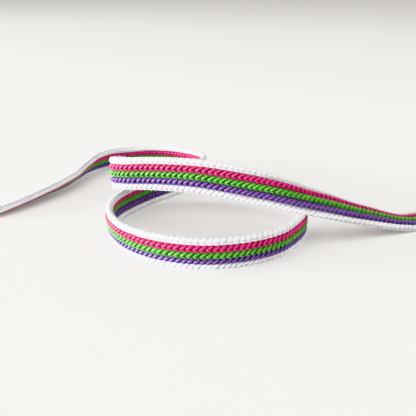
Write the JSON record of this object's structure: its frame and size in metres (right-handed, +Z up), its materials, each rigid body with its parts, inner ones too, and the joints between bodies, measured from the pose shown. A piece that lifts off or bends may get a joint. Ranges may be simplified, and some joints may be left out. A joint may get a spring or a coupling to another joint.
{
  "type": "braid trim",
  "caption": "Cut length of flat five-row yarn braid trim in white, pink, green, purple and white, standing on edge in an open loop",
  "frame": {"origin": "on the table, in the middle of the outline of the looped braid", "axes": "+Z up across the tape's width, +X from the left-hand tail to the right-hand tail, +Y from the loop's front to the turn at the back"},
  "size_m": [0.1532, 0.1125, 0.0254],
  "materials": {
    "white_yarn": "matte",
    "purple_yarn": "satin",
    "green_yarn": "satin",
    "pink_yarn": "satin"
  },
  "bodies": {
    "root": {"braid": "white_yarn"}
  },
  "joints": []
}
